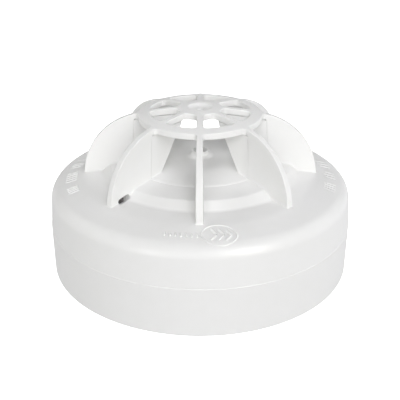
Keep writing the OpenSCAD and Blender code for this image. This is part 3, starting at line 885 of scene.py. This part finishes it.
INSIDE_EDGE = 0.25
LEDGE_TURNS = (30, 150, 270)
LEDGE_Z = (8, 9.5)
LEDGE_R = (36.9, 40.9)
LEDGE_WALL_R = (40.4, 42.2)
STOP_TURNS = (-9, 25)
STOP_TOP = 8.5
BOSS_TURNS = (45, 135, 225, 315)
BOSS_R = 24
BOSS_H = 2.6
INSIDE_FOOT = FLOOR_T - 0.5


def ring_block(r0, r1, a0, a1, z0, z1, count=24):
    """A block between two radii, two angles in degrees from +X and two heights: its rounded section is
    carried along the arc, and shrinks to its middle at both ends, which closes them."""
    section = rounded([(r0, z0), (r1, z0), (r1, z1), (r0, z1)], [INSIDE_EDGE] * 4, 4)
    middle = section.mean(0)
    a = np.radians(np.linspace(a0, a1, count))
    shrink = np.ones(count + 2)
    shrink[0] = shrink[-1] = 0
    a = np.r_[a[0], a, a[-1]]
    ring = middle + (section[None] - middle) * shrink[:, None, None]
    x, y = np.cos(a)[:, None] * ring[..., 0], np.sin(a)[:, None] * ring[..., 0]
    points = np.stack([x, y, ring[..., 1]], axis=-1).reshape(-1, 3)
    return points, grid_faces(count + 2, len(section), close_cols=True)


def base_profile():
    """Section of the base: floor with the cable entry, and the skirt with rounded foot and rim."""
    inner = BODY_R - 2.2
    return rounded(
        [(CABLE_R, 0), (BODY_R, 0), (BODY_R, BASE_H), (inner, BASE_H), (inner, FLOOR_T), (CABLE_R, FLOOR_T)],
        [0.2, 0.35, 0.28, 0.2, 1.2, 0.2], 8,
    )


# Operators


class DETECTOR_OT_cover(bpy.types.Operator):
    """Build the cap, the eight fins and the crown as one moulding"""

    bl_idname = "detector.cover"
    bl_label = "Cover"

    def execute(self, context):
        sizes = context.scene.detector_cover
        material = white(context, "cover")
        cap = make_piece("cap", [revolve(cap_profile(sizes), 288)], material, HEAD, "outer_cover")
        fin = fin_plate(sizes)
        first, *plain = [turned(fin, WINDOW_FIN - 90 + k * 360 / FINS) for k in range(FINS)]
        fins = make_piece("fins", plain, material, HEAD, "outer_cover", sharp=50)
        lit = make_piece("window_fin", [first], material, HEAD, "outer_cover", sharp=50)
        crown = make_piece(
            "crown", crown_parts(context.scene.detector_crown, sizes.fin_top_t / 2), material, HEAD,
            "outer_cover", sharp=50,
        )
        cut(cap, window_cutter())
        cut(cap, bar_cutter())
        cut(lit, window_cutter())
        make_piece("raised_marks", raised_marks(cap_top(sizes)), material, HEAD, "outer_cover", sharp=60)
        for piece in (cap, fins, lit, crown):
            weigh_normals(piece)
        return {"FINISHED"}


class DETECTOR_OT_shroud(bpy.types.Operator):
    """Build the domed shroud with its hollow rim and eight webs"""

    bl_idname = "detector.shroud"
    bl_label = "Sensor shroud"

    def execute(self, context):
        web = web_plate(context.scene.detector_crown)
        parts = [revolve(shroud_profile(), 192)]
        parts += [turned(web, -90 + k * 360 / FINS) for k in range(FINS)]
        piece = make_piece("shroud", parts, white(context, "shroud"), HEAD, "sensor_shroud", sharp=50)
        weigh_normals(piece)
        return {"FINISHED"}


class DETECTOR_OT_base(bpy.types.Operator):
    """Build the base: floor, skirt, slots, bayonet ledges and terminal bosses"""

    bl_idname = "detector.base"
    bl_label = "Base"

    def execute(self, context):
        material = white(context, "base")
        shell = make_piece("base_shell", [revolve(base_profile(), 288)], material, BASE, "base_housing")
        slot = stadium(SLOT_DIMS["slot_length_mm"], 2 * SLOT_DIMS["hole_r_mm"])
        points, faces = prism(slot, -1.0, FLOOR_T + 1, 0.0)
        places = [(side * SLOT_DIMS["spacing_x_mm"] / 2, 0, 0) for side in (-1, 1)]
        cut(shell, *((points + place, faces) for place in places))
        inside = []
        for a in LEDGE_TURNS:
            inside.append(ring_block(*LEDGE_WALL_R, a - 12, a + 28, INSIDE_FOOT, LEDGE_Z[1]))
            inside.append(ring_block(*LEDGE_R, a - 10, a + 10, *LEDGE_Z))
            for b in STOP_TURNS:
                inside.append(ring_block(*LEDGE_R, a + b, a + b + 2, INSIDE_FOOT, STOP_TOP, count=6))
        boss = rounded([(-4.5, -12), (4.5, -12), (4.5, 2), (-4.5, 2)], [0.6] * 4, 4)
        points, faces = prism(boss, INSIDE_FOOT, FLOOR_T + BOSS_H, INSIDE_EDGE)
        inside += [turned((points + [BOSS_R, 0, 0], faces), a) for a in BOSS_TURNS]
        ledges = make_piece("base_ledges", inside, material, BASE, "base_housing")
        for piece in (shell, ledges):
            weigh_normals(piece)
        return {"FINISHED"}


class DETECTOR_OT_sensor(bpy.types.Operator):
    """Build the thermistor bead, a dipped drop of epoxy, and the smoked lens of the indicator"""

    bl_idname = "detector.sensor"
    bl_label = "Thermistor and lens"

    def execute(self, context):
        radius = (BEAD_HIGH[0] - BEAD_LOW[0]) / 2
        t = np.linspace(-math.pi / 2, math.pi / 2, 28)
        height = BEAD_HIGH[2] - BEAD_LOW[2]
        r = radius * np.cos(t) ** 0.8 * (1 - 0.12 * np.clip(-np.sin(t), 0, 1))
        r[0] = r[-1] = 0
        drop = revolve(np.stack([r, BEAD_LOW[2] + height * (np.sin(t) + 1) / 2], axis=1), 40, closed=False)
        epoxy = moulded_epoxy("bead_epoxy", (0.018, 0.018, 0.02), 0.25)
        make_piece("thermistor_bead", [drop], epoxy, HEAD, "thermistor", sharp=70, slot="bead_epoxy")
        smoked = tinted_lens("smoked_lens", tuple(context.scene.detector_finishes.lens))
        make_piece("lens", [lens_bar()], smoked, HEAD, "light_pipe", sharp=50, slot="smoked_red")
        return {"FINISHED"}


class DETECTOR_OT_inside(bpy.types.Operator):
    """Give the metal parts, the board and its parts their own finishes"""

    bl_idname = "detector.inside"
    bl_label = "Inside parts"

    def execute(self, context):
        finish = context.scene.detector_finishes
        steel = sheet_metal("zinc_plate", tuple(finish.steel), 0.24)
        brass = sheet_metal("spring_brass", tuple(finish.brass), 0.28)
        chip = moulded_epoxy("chip_epoxy", (0.02, 0.02, 0.022), 0.5)
        metal = (
            "clamp_plates", "terminal_screws", "contact_rivets", "link_pins", "board_screws", "cover_screws",
            "thermistor_leads",
        )
        chips = ("microcontroller", "bridge_rectifier", "voltage_regulator", "chip_resistors")
        coats = {f"{kind}_{k}": brass for kind in ("base_contact", "contact_blade") for k in range(1, 5)}
        coats |= dict.fromkeys(metal, steel) | dict.fromkeys(chips, chip)
        coats |= {
            "back_plate": white(context, "plate"),
            "circuit_board": solder_mask("green_mask", tuple(finish.mask)),
            "line_capacitor": moulded_epoxy("capacitor_sleeve", (0.02, 0.03, 0.12), 0.3),
            "indicator_led": tinted_lens("led_epoxy", (0.4, 0.02, 0.02)),
        }
        for node, material in coats.items():
            for slot in frame["nodes"][node].material_slots:
                slot.material = material
        return {"FINISHED"}


# Stage

SKY_EDGE = 0.02
FLOOR_RINGS = 24
FLOOR_SPOKES = 64
FLOOR_R = 1.6  # metres
FLOOR_LAP = 1.6  # millimetres that the floor reaches in under the base
FLOOR_DROP = 0.00005  # metres, so that the floor doesn't touch the base's underside
LENS_SHIFT = (-0.0004, -0.0028)

# Each lamp is a sun: degrees round from the front, degrees up, degrees that it spans, and its light as red,
# green and blue. The soft ones light the parts evenly, and the strips are seen only as highlights.
SOFT_LAMPS = (
    ("front_low", 0, 15, 50, (1.55, 1.55, 1.5)),
    ("front_high", 0, 45, 50, (1.01, 1.0, 1.06)),
    ("right_front", 45, 45, 50, (0.88, 0.885, 0.9)),
    ("right", 90, 20, 50, (0.16, 0.16, 0.13)),
    ("left", -90, 20, 50, (0.5, 0.505, 0.46)),
    ("rear_right", 125, 15, 50, (1.71, 1.71, 1.76)),
    ("rear_left_low", -125, 15, 50, (0.77, 0.77, 0.77)),
    ("rear_left_high", -155, 35, 50, (0.605, 0.605, 0.6)),
    ("floor_bounce", 0, -90, 160, (1.26, 1.265, 1.31)),
)
STRIP_LAMPS = (
    ("left_strip", -35, 10, 25, (0.55, 0.55, 0.54)),
    ("right_strip", 35, 10, 25, (0.85, 0.82, 0.7)),
    ("right_high_strip", 35, 30, 25, (1.5, 1.51, 1.46)),
    ("side_strip", -90, 20, 50, (0.1, 0.1, 0.12)),
    ("rear_strip", 180, 30, 50, (0.1, 0.1, 0.1)),
)


class DETECTOR_OT_stage(bpy.types.Operator):
    """Set the floor, the soft light and the camera"""

    bl_idname = "detector.stage"
    bl_label = "Stage"

    def execute(self, context):
        stage = context.scene.detector_stage
        scene = context.scene
        scene.view_settings.view_transform = "Standard"
        self.sky(scene, stage)
        self.floor()
        self.lamps(stage)
        self.camera(scene, stage)
        return {"FINISHED"}

    def sky(self, scene, stage):
        """White to the camera. The parts reflect it only below the horizon, where the floor would be."""
        s = Shader("studio", sky=True)
        seen = s.node("ShaderNodeLightPath", {}, output="Is Camera Ray")
        way = s.node("ShaderNodeTexCoord", {}, output="Generated")
        below = s.ramp(s.node("ShaderNodeSeparateXYZ", {}, way, output="Z"), SKY_EDGE, -SKY_EDGE)
        tint = s.blend(seen, tuple(stage.mirrored), (1, 1, 1))
        strength = seen + (1 - seen) * below
        s.tree.links.new(s.node("ShaderNodeBackground", {}, tint, strength).socket, s.surface)
        s.made.cycles_visibility.diffuse = False
        scene.world = s.made

    def floor(self):
        """A wide disc just under the base, left open where the base hides it, so that the underside shows."""
        inner = (BODY_R - FLOOR_LAP) * MM
        radius = inner + (FLOOR_R - inner) * np.linspace(0, 1, FLOOR_RINGS)[:, None] ** 1.5
        angle = np.linspace(0, 2 * np.pi, FLOOR_SPOKES, endpoint=False)[None]
        points = np.stack([radius * np.sin(angle), radius * np.cos(angle), 0 * radius * angle], axis=-1)
        mesh = bpy.data.meshes.new("floor")
        faces = grid_faces(FLOOR_RINGS, FLOOR_SPOKES, close_cols=True)
        mesh.from_pydata(points.reshape(-1, 3).tolist(), [], faces.tolist())
        s = Shader("pale_floor")
        soft = s.noise(s.place(1.0), 6.0, 2.0)
        tint = s.blend(s.ramp(soft, 0.3, 0.7), (0.9, 0.9, 0.9), (0.92, 0.92, 0.92))
        mesh.materials.append(
            s.finish(Base_Color=tint, Roughness=0.9, Emission_Color=(1, 1, 1), Emission_Strength=1.0)
        )
        floor = bpy.data.objects.new("floor", mesh)
        floor.location.z = -FLOOR_DROP
        floor.visible_diffuse = floor.visible_glossy = floor.visible_shadow = False
        bpy.context.scene.collection.objects.link(floor)

    def lamps(self, stage):
        """One sun lamp for each row of the two tables."""
        for soft, lamps in ((True, SOFT_LAMPS), (False, STRIP_LAMPS)):
            for name, turn, up, span, colour_rgb in lamps:
                lamp = bpy.data.lights.new(name, "SUN")
                lamp.angle = math.radians(span)
                lamp.energy = max(colour_rgb) * stage.key
                lamp.color = tuple(c / max(colour_rgb) for c in colour_rgb)
                sun = bpy.data.objects.new(name, lamp)
                a, e = math.radians(turn), math.radians(up)
                way = Vector((math.sin(a) * math.cos(e), -math.cos(a) * math.cos(e), math.sin(e)))
                sun.location = way
                sun.rotation_mode = "QUATERNION"
                sun.rotation_quaternion = way.to_track_quat("Z", "Y")
                sun.visible_diffuse, sun.visible_glossy = soft, not soft
                bpy.context.scene.collection.objects.link(sun)

    def camera(self, scene, stage):
        """The camera, aimed at the object's axis from in front and above."""
        data = bpy.data.cameras.new("camera")
        data.sensor_width, data.lens = 36, stage.focal
        data.shift_x, data.shift_y = LENS_SHIFT
        data.clip_start, data.clip_end = 0.01, 10
        camera = bpy.data.objects.new("camera", data)
        tilt = stage.camera_tilt
        far = stage.camera_distance * MM
        turn = stage.camera_turn
        camera.location = (
            far * math.cos(tilt) * math.sin(turn), -far * math.cos(tilt) * math.cos(turn),
            stage.camera_height * MM + far * math.sin(tilt),
        )
        camera.rotation_euler = (math.pi / 2 - tilt, 0, turn)
        scene.collection.objects.link(camera)
        scene.camera = camera


class DETECTOR_PT_panel(bpy.types.Panel):
    """The detector's tools and settings in the sidebar"""

    bl_idname = "DETECTOR_PT_panel"
    bl_label = "Heat Detector"
    bl_space_type = "VIEW_3D"
    bl_region_type = "UI"
    bl_category = "Detector"

    def draw(self, context):
        for step in STEPS:
            self.layout.operator(step.bl_idname)
        for name in SETTINGS:
            box = self.layout.box()
            group = getattr(context.scene, name)
            for key in group.bl_rna.properties.keys():
                if key not in ("rna_type", "name"):
                    box.prop(group, key)


STEPS = (
    DETECTOR_OT_stage, DETECTOR_OT_cover, DETECTOR_OT_shroud, DETECTOR_OT_base, DETECTOR_OT_sensor,
    DETECTOR_OT_inside,
)
SETTINGS = {
    "detector_cover": CoverSizes, "detector_crown": CrownSizes, "detector_finishes": Finishes,
    "detector_stage": StageSettings,
}


def register():
    for cls in (*SETTINGS.values(), *STEPS, DETECTOR_PT_panel):
        bpy.utils.register_class(cls)
    for name, group in SETTINGS.items():
        setattr(bpy.types.Scene, name, bpy.props.PointerProperty(type=group))


def unregister():
    for name in SETTINGS:
        delattr(bpy.types.Scene, name)
    for cls in reversed((*SETTINGS.values(), *STEPS, DETECTOR_PT_panel)):
        bpy.utils.unregister_class(cls)


def main():
    register()
    for step in STEPS:
        group, name = step.bl_idname.split(".")
        getattr(getattr(bpy.ops, group), name)()


if __name__ == "__main__":
    main()
